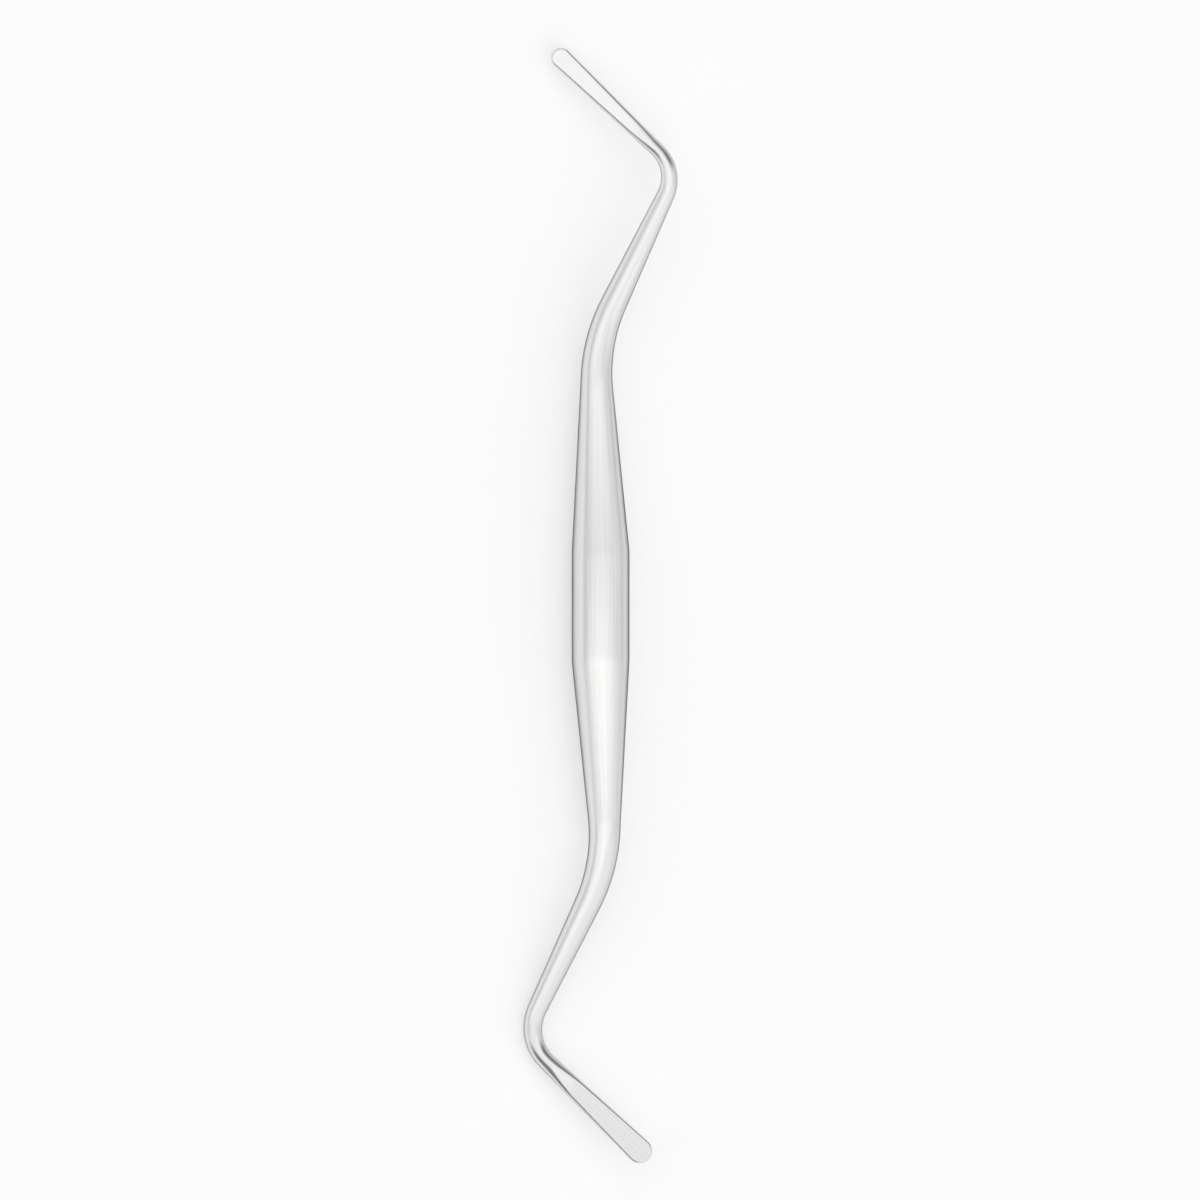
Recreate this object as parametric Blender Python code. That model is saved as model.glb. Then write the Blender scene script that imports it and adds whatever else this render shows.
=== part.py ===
"""Double-ended dental filling instrument, made from one bar of stainless steel.

A plain round handle tapers into a round shank at each end. Each shank leans a little off the handle's
axis, bends one way, runs on, bends back the other way and is ground to a flat blade with a round tip.
The two ends face opposite ways in one plane, and one blade is wider than the other.

Metres, +Z up. The handle lies along Y, with the narrow blade at the +Y end, and the origin is on the
surface that the instrument lies on, under the middle of the handle. The handle is round, so the
instrument lies rolled over until the wide end's second bend meets that surface.
"""

import math
from collections import namedtuple

import bmesh
import bpy
from mathutils import Matrix, Vector

MM = 0.001

# Handle
HANDLE_DIAMETER = 8.0 * MM
HANDLE_LENGTH = 15.1 * MM

# Taper and first bend, alike at both ends
LEAN = math.radians(1.4)
TAPER_END_DIAMETER = 4.45 * MM
FIRST_BEND_RADIUS = 24.4 * MM
FIRST_BEND_ANGLE = math.radians(27.0)
FIRST_BEND_END_DIAMETER = 3.65 * MM
SECOND_BEND_ANGLE = math.radians(71.8)

# Narrow end; a blade's length runs from the second bend to the centre of its round tip
NARROW_TAPER_LENGTH = 23.2 * MM
NARROW_SHANK_LENGTH = 16.6 * MM
NARROW_SHANK_END_DIAMETER = 2.43 * MM
NARROW_SECOND_BEND_RADIUS = 5.4 * MM
NARROW_ROOT_DIAMETER = 1.9 * MM
NARROW_BLADE_LENGTH = 18.45 * MM
NARROW_TIP_WIDTH = 2.73 * MM

# Wide end
WIDE_TAPER_LENGTH = 22.6 * MM
WIDE_SHANK_LENGTH = 16.05 * MM
WIDE_SHANK_END_DIAMETER = 2.65 * MM
WIDE_SECOND_BEND_RADIUS = 6.35 * MM
WIDE_ROOT_DIAMETER = 2.33 * MM
WIDE_BLADE_LENGTH = 17.75 * MM
WIDE_TIP_WIDTH = 3.46 * MM

# Ground faces of both blades: a shoulder takes the round root down to a long, thin wedge
SHOULDER_LENGTH = 5.6 * MM
BLADE_THICKNESS = 0.95 * MM
TIP_THICKNESS = 0.55 * MM

# Facets of the solid
QUARTER_SIDES = 5
TAPER_STEPS = 6
FIRST_BEND_STEPS = 12
SHANK_STEPS = 4
SECOND_BEND_STEPS = 18
SHOULDER_STEPS = 8
WEDGE_STEPS = 4
TIP_STEPS = 14

SIDES = 4 * QUARTER_SIDES
HALF_SIDE = math.pi / SIDES

STEEL_COLOUR = (0.80, 0.80, 0.79, 1.0)
STEEL_ROUGHNESS = 0.28

# One cross-section: its centre in the instrument's plane, the way that the bar runs there, counted
# from +Y towards +X, and half its width and half its thickness
Section = namedtuple("Section", "x y heading half_width half_thickness")

WorkingEnd = namedtuple(
    "WorkingEnd",
    "taper_length shank_length shank_end_diameter bend_radius root_diameter blade_length tip_width",
)

NARROW_END = WorkingEnd(
    NARROW_TAPER_LENGTH,
    NARROW_SHANK_LENGTH,
    NARROW_SHANK_END_DIAMETER,
    NARROW_SECOND_BEND_RADIUS,
    NARROW_ROOT_DIAMETER,
    NARROW_BLADE_LENGTH,
    NARROW_TIP_WIDTH,
)

WIDE_END = WorkingEnd(
    WIDE_TAPER_LENGTH,
    WIDE_SHANK_LENGTH,
    WIDE_SHANK_END_DIAMETER,
    WIDE_SECOND_BEND_RADIUS,
    WIDE_ROOT_DIAMETER,
    WIDE_BLADE_LENGTH,
    WIDE_TIP_WIDTH,
)


def clear_scene():
    for old in list(bpy.data.objects):
        bpy.data.objects.remove(old, do_unlink=True)


def steel():
    """Satin stainless steel."""
    material = bpy.data.materials.new("stainless_steel")
    material.use_nodes = True
    shader = material.node_tree.nodes["Principled BSDF"]
    shader.inputs["Base Color"].default_value = STEEL_COLOUR
    shader.inputs["Metallic"].default_value = 1.0
    shader.inputs["Roughness"].default_value = STEEL_ROUGHNESS
    return material


def run(sections, length, turn, end_width, steps, thickness=None):
    """Carries the bar on by one straight run, or by one bend where turn isn't 0.

    The width changes evenly along the run. The bar stays round, unless thickness gives how thick it is
    at a share of the run.
    """
    last = sections[-1]
    step, turn_step = length / steps, turn / steps
    chord = step * (math.sin(turn_step / 2) / (turn_step / 2) if turn_step else 1.0)
    x, y, heading = last.x, last.y, last.heading
    for count in range(1, steps + 1):
        share = count / steps
        x += chord * math.sin(heading + turn_step / 2)
        y += chord * math.cos(heading + turn_step / 2)
        heading += turn_step
        half_width = last.half_width + (end_width / 2 - last.half_width) * share
        half_thickness = thickness(share) / 2 if thickness else half_width
        sections.append(Section(x, y, heading, half_width, half_thickness))


def working_end(end):
    """Sections from the handle's edge to the centre of the blade's round tip, running along +Y."""
    handle_edge = Section(0.0, 0.0, -LEAN, HANDLE_DIAMETER / 2, HANDLE_DIAMETER / 2)
    sections = [handle_edge]
    run(sections, end.taper_length, 0.0, TAPER_END_DIAMETER, TAPER_STEPS)
    first_bend_length = FIRST_BEND_RADIUS * FIRST_BEND_ANGLE
    run(sections, first_bend_length, FIRST_BEND_ANGLE, FIRST_BEND_END_DIAMETER, FIRST_BEND_STEPS)
    run(sections, end.shank_length, 0.0, end.shank_end_diameter, SHANK_STEPS)
    second_bend_length = end.bend_radius * SECOND_BEND_ANGLE
    run(sections, second_bend_length, -SECOND_BEND_ANGLE, end.root_diameter, SECOND_BEND_STEPS)

    def shoulder(share):
        eased = share * share * (3 - 2 * share)
        return end.root_diameter + (BLADE_THICKNESS - end.root_diameter) * eased

    def wedge(share):
        return BLADE_THICKNESS + (TIP_THICKNESS - BLADE_THICKNESS) * share

    widening = (end.tip_width - end.root_diameter) / end.blade_length
    shoulder_width = end.root_diameter + widening * SHOULDER_LENGTH
    wedge_length = end.blade_length - SHOULDER_LENGTH
    run(sections, SHOULDER_LENGTH, 0.0, shoulder_width, SHOULDER_STEPS, shoulder)
    run(sections, wedge_length, 0.0, end.tip_width, WEDGE_STEPS, wedge)
    # The taper leans off the handle, but the bar's section at the handle's edge is the handle's own
    sections[0] = handle_edge._replace(heading=0.0)
    return sections


def place(sections, y, about_face):
    """Sets an end's sections at y along the handle, turned half round if it faces -Y."""
    sign, half_turn = (-1, math.pi) if about_face else (1, 0.0)
    return [s._replace(x=sign * s.x, y=y + sign * s.y, heading=s.heading + half_turn) for s in sections]


def section_outline(half_width, half_thickness):
    """A flat strip's outline with round edges, or a circle where it is as thick as wide.

    The polygon lies around the true outline, with a side at the top, the bottom and each edge.
    """
    radius = half_thickness / math.cos(HALF_SIDE)
    flat = half_width - half_thickness
    points = []
    for side in range(SIDES):
        angle = (2 * side + 1) * HALF_SIDE
        across = radius * math.cos(angle)
        points.append((across + math.copysign(flat, across), radius * math.sin(angle)))
    return points


def ring(mesh, section):
    """The vertices of one cross-section, the first beside the bar's right edge, seen from above."""
    right = Vector((math.cos(section.heading), -math.sin(section.heading), 0.0))
    centre = Vector((section.x, section.y, 0.0))
    outline = section_outline(section.half_width, section.half_thickness)
    return [mesh.verts.new(centre + right * across + Vector((0.0, 0.0, up))) for across, up in outline]


def skin(mesh, rings):
    """Joins each ring of vertices to the next with faces."""
    for near, far in zip(rings, rings[1:]):
        for side in range(SIDES):
            after = (side + 1) % SIDES
            mesh.faces.new((near[side], near[after], far[after], far[side]))


def round_tip(mesh, section, last_ring, blade_length):
    """Closes a blade with half a disc. Its edge is as round as the blade's, and its faces go on with
    the wedge."""
    right = Vector((math.cos(section.heading), -math.sin(section.heading), 0.0))
    ahead = Vector((math.sin(section.heading), math.cos(section.heading), 0.0))
    centre = Vector((section.x, section.y, 0.0))
    thinning = (BLADE_THICKNESS - TIP_THICKNESS) / 2 / (blade_length - SHOULDER_LENGTH)

    outline = section_outline(section.half_width, section.half_thickness)
    # The right-hand half of the outline, from the bottom face round the edge to the top face
    half_profile = outline[-QUARTER_SIDES:] + outline[:QUARTER_SIDES]
    right_side = last_ring[-QUARTER_SIDES:] + last_ring[:QUARTER_SIDES]
    left_side = list(reversed(last_ring[QUARTER_SIDES:-QUARTER_SIDES]))

    rows = [right_side]
    for step in range(1, TIP_STEPS):
        angle = math.pi * step / TIP_STEPS
        row = []
        for out, up in half_profile:
            forward = out * math.sin(angle)
            thinner = 1 - thinning * forward / section.half_thickness
            spot = centre + right * (out * math.cos(angle)) + ahead * forward
            row.append(mesh.verts.new(spot + Vector((0.0, 0.0, up * thinner))))
        rows.append(row)
    rows.append(left_side)

    for near, far in zip(rows, rows[1:]):
        for low in range(len(half_profile) - 1):
            mesh.faces.new((near[low], near[low + 1], far[low + 1], far[low]))
    mesh.faces.new([row[-1] for row in rows])
    mesh.faces.new([row[0] for row in reversed(rows)])


def rest_roll(sections):
    """How far the instrument rolls on its round handle before a bend on its -X side meets the surface."""
    radius = HANDLE_DIAMETER / 2
    slopes = []
    for s in sections:
        reach = -s.x + s.half_width - s.half_thickness
        if s.x < 0 and reach > radius - s.half_thickness:
            slopes.append((radius - s.half_thickness) / reach)
    return math.asin(min(slopes))


def filling_instrument():
    """The whole bar as one solid: one loft from blade to blade, closed by the two round tips."""
    narrow = place(working_end(NARROW_END), HANDLE_LENGTH / 2, about_face=False)
    wide = place(working_end(WIDE_END), -HANDLE_LENGTH / 2, about_face=True)

    mesh = bmesh.new()
    narrow_rings = [ring(mesh, section) for section in narrow]
    wide_rings = [ring(mesh, section) for section in wide]
    skin(mesh, narrow_rings)
    skin(mesh, wide_rings)
    # The wide end's rings start on the other edge, so the handle's two rings meet mirrored
    handle_start = [wide_rings[0][(SIDES // 2 - 1 - side) % SIDES] for side in range(SIDES)]
    skin(mesh, [handle_start, narrow_rings[0]])
    round_tip(mesh, narrow[-1], narrow_rings[-1], NARROW_BLADE_LENGTH)
    round_tip(mesh, wide[-1], wide_rings[-1], WIDE_BLADE_LENGTH)

    bmesh.ops.recalc_face_normals(mesh, faces=mesh.faces)
    for face in mesh.faces:
        face.smooth = True
    for edge in mesh.edges:
        if edge.verts[0] in narrow_rings[0] and edge.verts[1] in narrow_rings[0]:
            edge.smooth = False
        if edge.verts[0] in wide_rings[0] and edge.verts[1] in wide_rings[0]:
            edge.smooth = False

    data = bpy.data.meshes.new("filling_instrument")
    mesh.to_mesh(data)
    mesh.free()
    data.materials.append(steel())

    instrument = bpy.data.objects.new("filling_instrument", data)
    bpy.context.scene.collection.objects.link(instrument)
    roll = -rest_roll(narrow + wide)
    lowest = min((Matrix.Rotation(roll, 3, "Y") @ vertex.co).z for vertex in data.vertices)
    instrument.rotation_euler = (0.0, roll, 0.0)
    instrument.location = (0.0, 0.0, -lowest)
    return instrument


clear_scene()
filling_instrument()
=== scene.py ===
"""Looks of a double-ended dental filling instrument: one bar of satin stainless steel on a pale surface.

Metres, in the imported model's frame: +Y runs along the handle towards the narrow blade and +Z is up.
"""

import math

import bmesh
import bpy
import numpy as np
from mathutils import Matrix, Vector


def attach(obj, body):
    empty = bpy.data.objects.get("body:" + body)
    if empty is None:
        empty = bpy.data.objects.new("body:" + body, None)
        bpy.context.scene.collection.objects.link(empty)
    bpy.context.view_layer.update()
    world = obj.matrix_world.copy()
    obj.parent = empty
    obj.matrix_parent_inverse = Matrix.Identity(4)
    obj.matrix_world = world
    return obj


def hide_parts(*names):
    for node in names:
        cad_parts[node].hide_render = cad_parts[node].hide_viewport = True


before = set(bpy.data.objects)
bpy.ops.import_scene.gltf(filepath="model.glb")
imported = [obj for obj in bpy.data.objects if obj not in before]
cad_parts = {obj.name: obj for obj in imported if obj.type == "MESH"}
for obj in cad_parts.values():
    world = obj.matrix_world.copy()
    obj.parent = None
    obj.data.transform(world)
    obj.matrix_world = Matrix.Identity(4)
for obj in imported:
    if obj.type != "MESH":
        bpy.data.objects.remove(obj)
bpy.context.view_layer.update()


# The instrument: one bar of stainless steel with a plain round handle. Each end is turned to a taper,
# bent one way and back the other, hammered flat and ground to a blade with a round tip, and the whole
# is brushed to a satin finish along the bar. It has no joint, insert or fastening.
MM = 0.001
HANDLE_DIAMETER = 8.0 * MM
HANDLE_LENGTH = 15.1 * MM
LEAN = math.radians(1.4)
TAPER_END_DIAMETER = 4.45 * MM
FIRST_BEND_RADIUS = 24.4 * MM
FIRST_BEND_ANGLE = math.radians(27.0)
FIRST_BEND_END_DIAMETER = 3.65 * MM
SECOND_BEND_ANGLE = math.radians(71.8)
SHOULDER_LENGTH = 5.6 * MM
BLADE_THICKNESS = 0.95 * MM
TIP_THICKNESS = 0.55 * MM

# Polishing rounds every change of slope over about this length of bar
EASING = 0.7 * MM

# The bar's sizes are worked out at every sample, and every fourth one gets a ring of vertices
SAMPLE = 0.1 * MM
SAMPLES_PER_RING = 4
QUARTER_SIDES = 24
SIDES = 4 * QUARTER_SIDES
TIP_STEPS = 48

# Half the thickness of the even bar on which the brush marks are laid out
GRAIN_RADIUS = 2.0 * MM
BAR_GIRTH = math.pi * HANDLE_DIAMETER


def eased(values):
    """A size sampled along the bar, with its corners rounded by two running means."""
    window = 2 * round(EASING / SAMPLE / 2) + 1
    for _ in range(2):
        padded = np.pad(values, window // 2, mode="reflect", reflect_type="odd")
        values = np.convolve(padded, np.ones(window) / window, mode="valid")
    return values


def working_end(
    taper_length, shank_length, shank_end_diameter, bend_radius, root_diameter, blade_length, tip_width
):
    """One end's sections from the handle's middle to the centre of the blade's tip, running along +Y.

    Each row is a section's centre x and y, the way that the bar runs there, counted from +Y towards
    +X, half its width, half its thickness and how far along the bar it is.
    """
    first_bend_length = FIRST_BEND_RADIUS * FIRST_BEND_ANGLE
    second_bend_length = bend_radius * SECOND_BEND_ANGLE
    lengths = (
        HANDLE_LENGTH / 2,
        taper_length,
        first_bend_length,
        shank_length,
        second_bend_length,
        blade_length,
    )
    stations = np.cumsum((0.0, *lengths))
    out = FIRST_BEND_ANGLE - LEAN
    back = out - SECOND_BEND_ANGLE
    rings = round(stations[-1] / SAMPLE / SAMPLES_PER_RING)
    along = np.linspace(0.0, stations[-1], rings * SAMPLES_PER_RING + 1)

    heading = np.interp(along, stations, (-LEAN, -LEAN, -LEAN, out, out, back, back))
    heading[along < stations[1]] = 0.0
    widths = (
        HANDLE_DIAMETER,
        HANDLE_DIAMETER,
        TAPER_END_DIAMETER,
        FIRST_BEND_END_DIAMETER,
        shank_end_diameter,
        root_diameter,
        tip_width,
    )
    width = np.interp(along, stations, widths)
    ground = np.clip((along - stations[-2]) / SHOULDER_LENGTH, 0.0, 1.0)
    shoulder = root_diameter + (BLADE_THICKNESS - root_diameter) * ground * ground * (3 - 2 * ground)
    blade_start = stations[-2] + SHOULDER_LENGTH
    wedge = np.interp(along, (blade_start, stations[-1]), (0.0, TIP_THICKNESS - BLADE_THICKNESS))
    thickness = np.where(ground > 0, shoulder + wedge, width)

    heading, width, thickness = eased(heading), eased(width), eased(thickness)
    step = along[1] - along[0]
    middle_heading = (heading[1:] + heading[:-1]) / 2
    x = np.concatenate(([0.0], np.cumsum(np.sin(middle_heading)) * step))
    y = np.concatenate(([0.0], np.cumsum(np.cos(middle_heading)) * step))
    sections = np.column_stack((x, y, heading, width / 2, thickness / 2, along))
    return sections[::SAMPLES_PER_RING]


def strip_outline(half_width, half_thickness):
    """Evenly spaced points round a flat strip with half-round edges, or round a circle where the strip
    is as thick as it is wide, from the right edge over the top. Each is (across, up, on a flat face)."""
    flat = max(half_width - half_thickness, 0.0)
    edge = half_thickness * math.pi / 2
    quarter = []
    for side in range(QUARTER_SIDES):
        way = (flat + edge) * (side + 0.5) / QUARTER_SIDES
        if way < edge:
            angle = way / half_thickness
            across, up = flat + half_thickness * math.cos(angle), half_thickness * math.sin(angle)
            quarter.append((across, up, 0.0))
        else:
            quarter.append((flat - (way - edge), half_thickness, 1.0))
    top = quarter + [(-across, up, face) for across, up, face in reversed(quarter)]
    return top + [(-across, -up, face) for across, up, face in top]


class Bar:
    """The bar's mesh. Each vertex holds where it was while the bar was straight and even, of
    GRAIN_RADIUS all along, and whether it is on a ground face. The map round_and_along runs round the
    bar and along it, across the grain and with it."""

    def __init__(self):
        self.mesh = bmesh.new()
        self.place = self.mesh.verts.layers.float_vector.new("bar_place")
        self.face = self.mesh.verts.layers.float.new("ground_face")
        self.map = self.mesh.loops.layers.uv.new("round_and_along")

    def vertex(self, section, across, up, forward, face):
        x, y, heading, half_width, half_thickness, along = section
        right = Vector((math.cos(heading), -math.sin(heading), 0.0))
        ahead = Vector((math.sin(heading), math.cos(heading), 0.0))
        spot = Vector((x, y, up)) + right * across + ahead * forward
        made = self.mesh.verts.new(spot)
        even = (across / half_width * GRAIN_RADIUS, up / half_thickness * GRAIN_RADIUS)
        made[self.place] = (*even, along + forward)
        made[self.face] = face
        return made

    def ring(self, section):
        *_, half_width, half_thickness, _ = section
        outline = strip_outline(half_width, half_thickness)
        return [self.vertex(section, across, up, 0.0, face) for across, up, face in outline]

    def skin(self, rings):
        """Faces from each ring to the next, all the way round."""
        for near, far in zip(rings, rings[1:]):
            for side in range(SIDES):
                after = (side + 1) % SIDES
                corners = (near[side], near[after], far[after], far[side])
                face = self.mesh.faces.new(corners)
                for loop, turned in zip(face.loops, (side, side + 1, side + 1, side)):
                    loop[self.map].uv = (turned / SIDES, loop.vert[self.place].z / BAR_GIRTH)

    def cap(self, corners):
        """A face of a blade's tip, where the map runs straight across."""
        face = self.mesh.faces.new(corners)
        for loop in face.loops:
            across, _, along = loop.vert[self.place]
            loop[self.map].uv = (across / BAR_GIRTH, along / BAR_GIRTH)

    def round_tip(self, section, last_ring, outward, thinning):
        """Half a disc on a blade's end, whose edge is as round as the blade's and whose faces go on
        with the wedge."""
        *_, half_width, half_thickness, _ = section
        outline = strip_outline(half_width, half_thickness)
        half_profile = outline[-QUARTER_SIDES:] + outline[:QUARTER_SIDES]
        rows = [last_ring[-QUARTER_SIDES:] + last_ring[:QUARTER_SIDES]]
        for step in range(1, TIP_STEPS):
            angle = math.pi * step / TIP_STEPS
            row = []
            for out, up, face in half_profile:
                forward = out * math.sin(angle)
                thinner = 1 - thinning * forward / half_thickness
                across = out * math.cos(angle)
                row.append(self.vertex(section, across, up * thinner, outward * forward, face))
            rows.append(row)
        rows.append(list(reversed(last_ring[QUARTER_SIDES:-QUARTER_SIDES])))
        for near, far in zip(rows, rows[1:]):
            for low in range(len(near) - 1):
                self.cap((near[low], near[low + 1], far[low + 1], far[low]))
        self.cap([row[-1] for row in rows])
        self.cap([row[0] for row in reversed(rows)])


def bar_sections(narrow, wide):
    """All sections from the wide tip to the narrow one. The wide end is turned half round, which changes
    the signs of x, y and along, and is taken from its tip inwards, so its heading stays as it was."""
    turned = wide[:0:-1] * np.array((-1, -1, 1, 1, 1, -1))
    return np.concatenate((turned, narrow))


def rest_roll(sections):
    """How far the instrument rolls on its handle until a bend on its -X side meets the surface."""
    x, _, _, half_width, half_thickness, _ = sections.T
    reach = -x + half_width - half_thickness
    rise = HANDLE_DIAMETER / 2 - half_thickness
    touching = (x < 0) & (reach > rise)
    return -math.asin((rise[touching] / reach[touching]).min())


# How wide and how long the brush marks are, fine ones over broad ones, and the patches where the hand
# pressed more or less
FINE_MARK = (0.06 * MM, 15.0 * MM)
BROAD_MARK = (0.15 * MM, 45.0 * MM)
PATCH = (4.0 * MM, 9.0 * MM)
FINE_MARK_DEPTH = 0.002 * MM
FINE_MARK_STRENGTH = 0.5

# Marks and patches run from 0 to 1, and nearly all of them lie between these; two added run to 2
FAINT, STRONG = 0.3, 0.7
BOTH_FAINT, BOTH_STRONG = 0.7, 1.3

DARKER_MARK = (0.765, 0.766, 0.760, 1.0)
PALER_MARK = (0.835, 0.835, 0.828, 1.0)
FINEST_BRUSHING = 0.19
COARSEST_BRUSHING = 0.27
PATCH_ROUGHNESS = 0.02
GROUND_FACE_POLISH = 0.06
GRAIN_PULL = 0.6


def satin_steel():
    """Stainless steel, brushed along the bar. The marks are laid out on the straight, even bar, so they
    follow its bends and draw together where it is thin."""
    material = bpy.data.materials.new("satin_stainless_steel")
    material.use_nodes = True
    nodes, links = material.node_tree.nodes, material.node_tree.links
    shader = nodes["Principled BSDF"]
    shader.inputs["Metallic"].default_value = 1.0

    place = nodes.new("ShaderNodeAttribute")
    place.attribute_name = "bar_place"
    face = nodes.new("ShaderNodeAttribute")
    face.attribute_name = "ground_face"

    def marks(size, detail):
        """Noise whose grains are that wide across the bar and that long along it."""
        across, length = size
        scaled = nodes.new("ShaderNodeVectorMath")
        scaled.operation = "MULTIPLY"
        scaled.inputs[1].default_value = (1 / across, 1 / across, 1 / length)
        noise = nodes.new("ShaderNodeTexNoise")
        noise.inputs["Scale"].default_value = 1.0
        noise.inputs["Detail"].default_value = detail
        links.new(place.outputs["Vector"], scaled.inputs[0])
        links.new(scaled.outputs["Vector"], noise.inputs["Vector"])
        return noise.outputs["Fac"]

    def spread(value, low, high, to_low, to_high):
        """Maps a value's range to another."""
        mapped = nodes.new("ShaderNodeMapRange")
        mapped.inputs["From Min"].default_value = low
        mapped.inputs["From Max"].default_value = high
        mapped.inputs["To Min"].default_value = to_low
        mapped.inputs["To Max"].default_value = to_high
        links.new(value, mapped.inputs["Value"])
        return mapped.outputs["Result"]

    def total(first, second):
        added = nodes.new("ShaderNodeMath")
        added.operation = "ADD"
        links.new(first, added.inputs[0])
        links.new(second, added.inputs[1])
        return added.outputs[0]

    fine = marks(FINE_MARK, 1.0)
    broad = marks(BROAD_MARK, 1.0)
    patches = marks(PATCH, 2.0)

    colour = nodes.new("ShaderNodeMix")
    colour.data_type = "RGBA"
    colour.inputs["A"].default_value = DARKER_MARK
    colour.inputs["B"].default_value = PALER_MARK
    paleness = spread(total(fine, broad), BOTH_FAINT, BOTH_STRONG, 0.0, 1.0)
    links.new(paleness, colour.inputs["Factor"])
    links.new(colour.outputs["Result"], shader.inputs["Base Color"])

    brushing = spread(broad, FAINT, STRONG, FINEST_BRUSHING, COARSEST_BRUSHING)
    pressure = spread(patches, FAINT, STRONG, -PATCH_ROUGHNESS, PATCH_ROUGHNESS)
    polish = spread(face.outputs["Fac"], 0.0, 1.0, 0.0, -GROUND_FACE_POLISH)
    links.new(total(total(brushing, pressure), polish), shader.inputs["Roughness"])

    bump = nodes.new("ShaderNodeBump")
    bump.inputs["Strength"].default_value = FINE_MARK_STRENGTH
    bump.inputs["Distance"].default_value = FINE_MARK_DEPTH
    links.new(fine, bump.inputs["Height"])
    links.new(bump.outputs["Normal"], shader.inputs["Normal"])

    # Marks along the bar spread a reflection round it
    around = nodes.new("ShaderNodeTangent")
    around.direction_type = "UV_MAP"
    around.uv_map = "round_and_along"
    shader.inputs["Anisotropic"].default_value = GRAIN_PULL
    links.new(around.outputs["Tangent"], shader.inputs["Tangent"])
    # With no tint at its edges the steel goes dark just inside its outline
    shader.inputs["Specular Tint"].default_value = (0.0, 0.0, 0.0, 1.0)
    return material


narrow_blade_length = 18.45 * MM
wide_blade_length = 17.75 * MM
narrow_end = working_end(
    taper_length=23.2 * MM,
    shank_length=16.6 * MM,
    shank_end_diameter=2.43 * MM,
    bend_radius=5.4 * MM,
    root_diameter=1.9 * MM,
    blade_length=narrow_blade_length,
    tip_width=2.73 * MM,
)
wide_end = working_end(
    taper_length=22.6 * MM,
    shank_length=16.05 * MM,
    shank_end_diameter=2.65 * MM,
    bend_radius=6.35 * MM,
    root_diameter=2.33 * MM,
    blade_length=wide_blade_length,
    tip_width=3.46 * MM,
)
sections = bar_sections(narrow_end, wide_end)

bar = Bar()
rings = [bar.ring(section) for section in sections]
bar.skin(rings)
wedge_drop = (BLADE_THICKNESS - TIP_THICKNESS) / 2
narrow_thinning = wedge_drop / (narrow_blade_length - SHOULDER_LENGTH)
wide_thinning = wedge_drop / (wide_blade_length - SHOULDER_LENGTH)
bar.round_tip(sections[-1], rings[-1], 1, narrow_thinning)
bar.round_tip(sections[0], rings[0], -1, wide_thinning)
bmesh.ops.recalc_face_normals(bar.mesh, faces=bar.mesh.faces)

roll = rest_roll(sections)
bmesh.ops.transform(bar.mesh, matrix=Matrix.Rotation(roll, 4, "Y"), verts=bar.mesh.verts)
lift = -min(vertex.co.z for vertex in bar.mesh.verts)
bmesh.ops.translate(bar.mesh, vec=(0.0, 0.0, lift), verts=bar.mesh.verts)

bar_data = bpy.data.meshes.new("steel_bar")
bar.mesh.to_mesh(bar_data)
bar.mesh.free()
bar_data.shade_smooth()
bar_data.materials.append(satin_steel())
steel_bar = bpy.data.objects.new("steel_bar", bar_data)
bpy.context.scene.collection.objects.link(steel_bar)
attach(steel_bar, "root")
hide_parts("filling_instrument")


# The surface that the instrument lies on: a wide, plain, matt white sheet. It is lit through a little
# from below, like a light table, so it is white to the eye and in the steel and keeps its soft shadow.
SURFACE_SIDE = 6.0
WHITE_PAINT = (0.95, 0.95, 0.95, 1.0)
LIT_LEVEL = 0.23

surface_mesh = bmesh.new()
bmesh.ops.create_grid(surface_mesh, x_segments=1, y_segments=1, size=SURFACE_SIDE / 2)
surface_data = bpy.data.meshes.new("surface")
surface_mesh.to_mesh(surface_data)
surface_mesh.free()
sheet = bpy.data.materials.new("matt_white")
sheet.use_nodes = True
sheet_nodes, sheet_links = sheet.node_tree.nodes, sheet.node_tree.links
matt = sheet_nodes["Principled BSDF"]
matt.inputs["Base Color"].default_value = WHITE_PAINT
matt.inputs["Roughness"].default_value = 1.0
matt.inputs["Specular IOR Level"].default_value = 0.0
lit = sheet_nodes.new("ShaderNodeEmission")
ray = sheet_nodes.new("ShaderNodeLightPath")
seen = sheet_nodes.new("ShaderNodeMath")
seen.operation = "MAXIMUM"
seen_at_all = sheet_nodes.new("ShaderNodeMath")
seen_at_all.operation = "MAXIMUM"
level = sheet_nodes.new("ShaderNodeMath")
level.operation = "MULTIPLY"
level.inputs[1].default_value = LIT_LEVEL
both = sheet_nodes.new("ShaderNodeAddShader")
sheet_links.new(ray.outputs["Is Camera Ray"], seen.inputs[0])
sheet_links.new(ray.outputs["Is Glossy Ray"], seen.inputs[1])
sheet_links.new(seen.outputs[0], seen_at_all.inputs[0])
sheet_links.new(ray.outputs["Is Transmission Ray"], seen_at_all.inputs[1])
sheet_links.new(seen_at_all.outputs[0], level.inputs[0])
sheet_links.new(level.outputs[0], lit.inputs["Strength"])
sheet_links.new(matt.outputs["BSDF"], both.inputs[0])
sheet_links.new(lit.outputs["Emission"], both.inputs[1])
sheet_links.new(both.outputs["Shader"], sheet_nodes["Material Output"].inputs["Surface"])
surface_data.materials.append(sheet)
surface = bpy.data.objects.new("surface", surface_data)
bpy.context.scene.collection.objects.link(surface)


# The light: a studio room with grey walls, a soft ceiling that is brighter towards the wide end, and a
# dark flag to either side of the blades, which draws their edges. A broad lamp hangs overhead, with two
# strips for the steel alone. Below the horizon all is as white as the surface looks.
WALL = 0.73
CEILING = 0.96
BRIGHTER_END = 1.03
DIMMER_END = 0.88
FLAG = 0.20
SURFACE_LOOK = 0.973

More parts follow.
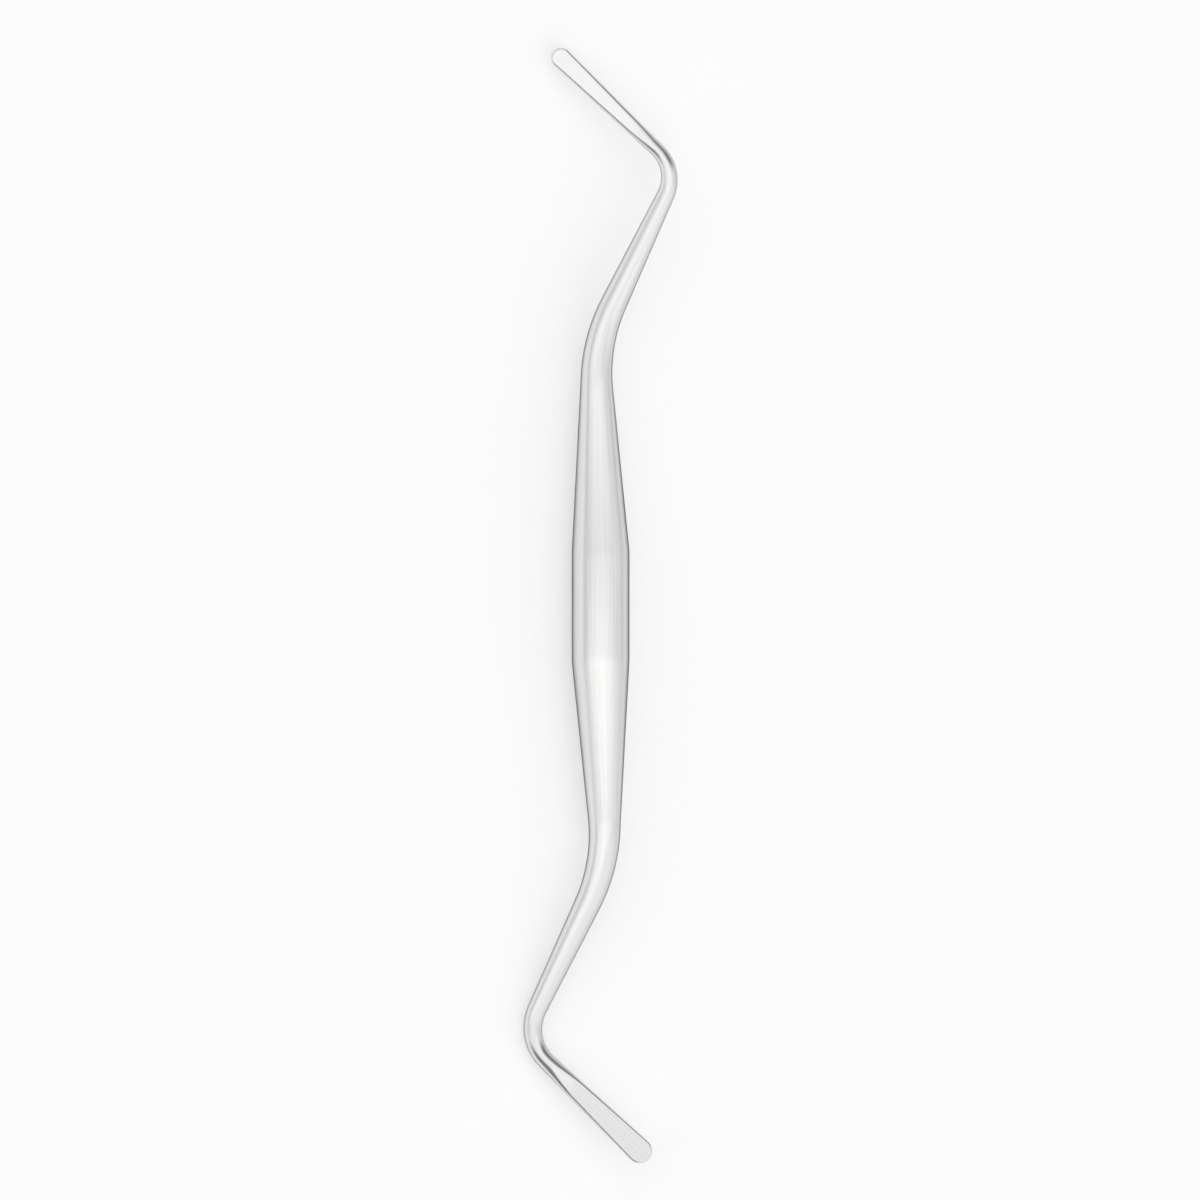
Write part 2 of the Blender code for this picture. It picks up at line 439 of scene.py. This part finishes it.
# Where one level fades into the next: by height, from 0 at the horizon to 1 overhead, by how far a
# direction points along the handle, and by how squarely it points across the blades
HAZE_TOP = 0.05
WALL_TOP, CEILING_EDGE = 0.15, 0.45
ALL_BRIGHTER, ALL_DIMMER = -0.17, -0.02
FLAG_EDGE, ALL_FLAG = 0.30, 0.55

world = bpy.data.worlds.new("studio")
bpy.context.scene.world = world
world.use_nodes = True
world_nodes, world_links = world.node_tree.nodes, world.node_tree.links
direction = world_nodes.new("ShaderNodeTexCoord").outputs["Generated"]


def reach(towards):
    """How far a direction points that way or the opposite way, from 0 to 1."""
    along = world_nodes.new("ShaderNodeVectorMath")
    along.operation = "DOT_PRODUCT"
    along.inputs[1].default_value = towards
    world_links.new(direction, along.inputs[0])
    size = world_nodes.new("ShaderNodeMath")
    size.operation = "ABSOLUTE"
    world_links.new(along.outputs["Value"], size.inputs[0])
    return size.outputs[0]


def worked(operation, first, second):
    """One result of arithmetic on two others."""
    result = world_nodes.new("ShaderNodeMath")
    result.operation = operation
    world_links.new(first, result.inputs[0])
    world_links.new(second, result.inputs[1])
    return result.outputs[0]


def faded(value, low, high, to_low, to_high):
    """Goes from one level to another while the value goes from low to high. A level can be a number or
    another result."""
    share = world_nodes.new("ShaderNodeMapRange")
    share.inputs["From Min"].default_value = low
    share.inputs["From Max"].default_value = high
    world_links.new(value, share.inputs["Value"])
    for level, name in ((to_low, "To Min"), (to_high, "To Max")):
        if isinstance(level, float):
            share.inputs[name].default_value = level
        else:
            world_links.new(level, share.inputs[name])
    return share.outputs["Result"]


parts = world_nodes.new("ShaderNodeSeparateXYZ")
world_links.new(direction, parts.inputs["Vector"])
height, towards_narrow_end = parts.outputs["Z"], parts.outputs["Y"]
_, _, blade_heading, *_ = sections[-1]
beside_blades = (math.cos(blade_heading), -math.sin(blade_heading), 0.0)
along_blades = (math.sin(blade_heading), math.cos(blade_heading), 0.0)
squarely = worked("SUBTRACT", reach(beside_blades), reach(along_blades))

room = faded(height, WALL_TOP, CEILING_EDGE, WALL, CEILING)
slope = faded(towards_narrow_end, ALL_BRIGHTER, ALL_DIMMER, BRIGHTER_END, DIMMER_END)
flagged = faded(squarely, FLAG_EDGE, ALL_FLAG, worked("MULTIPLY", room, slope), FLAG)
seen_level = faded(height, 0.0, HAZE_TOP, SURFACE_LOOK, flagged)
studio = world_nodes["Background"]
studio.inputs["Color"].default_value = (1.0, 1.0, 1.0, 1.0)
world_links.new(seen_level, studio.inputs["Strength"])


def hang_lamp(name, shape, sides, level, location, aim):
    """An oval or oblong lamp, as bright to look into as a white card in light of that level."""
    data = bpy.data.lights.new(name, "AREA")
    data.shape = shape
    data.size, data.size_y = sides
    filled = math.pi / 4 if shape == "ELLIPSE" else 1.0
    data.energy = level * math.pi * data.size * data.size_y * filled
    lamp = bpy.data.objects.new(name, data)
    lamp.location = location
    lamp.rotation_euler = (Vector(aim) - lamp.location).to_track_quat("-Z", "Y").to_euler()
    bpy.context.scene.collection.objects.link(lamp)
    return lamp


hang_lamp("broad_lamp", "ELLIPSE", (1.4, 1.4), level=0.10, location=(-0.35, 0.1, 1.3), aim=(0.0, 0.0, 0.0))

# The strips hang across the bar, over the handle's wide half and over the narrow blade. The steel shows
# them, and they put no light on the surface, so it stays even.
STRIP_SIDES = (0.052, 0.40)
for name, level, along in (("handle_strip", 0.24, -0.0255), ("blade_strip", 0.21, 0.07)):
    above, below = (-0.0465, along, 0.157), (0.0, along, 0.004)
    strip = hang_lamp(name, "RECTANGLE", STRIP_SIDES, level, location=above, aim=below)
    strip.visible_diffuse = False

bpy.context.scene.view_settings.view_transform = "Standard"


# The camera: square on to the plane that the bar is bent in, without perspective, as the instrument is
# drawn. The frame is 1200 pixels wide, and the handle 57.8 of them.
FRAME_PIXELS = 1200
HANDLE_PIXELS = 57.8
HANDLE_MIDDLE = (600.6, 606.0)
CAMERA_DISTANCE = 0.4

pixel = HANDLE_DIAMETER / HANDLE_PIXELS
camera_data = bpy.data.cameras.new("camera")
camera_data.type = "ORTHO"
camera_data.ortho_scale = FRAME_PIXELS * pixel
camera = bpy.data.objects.new("camera", camera_data)
turn = Matrix.Rotation(roll, 4, "Y")
aside = (FRAME_PIXELS / 2 - HANDLE_MIDDLE[0]) * pixel
ahead = (HANDLE_MIDDLE[1] - FRAME_PIXELS / 2) * pixel
camera.matrix_world = Matrix.Translation((0.0, 0.0, lift)) @ turn @ Matrix.Translation(
    (aside, ahead, CAMERA_DISTANCE)
)
bpy.context.scene.collection.objects.link(camera)
bpy.context.scene.camera = camera
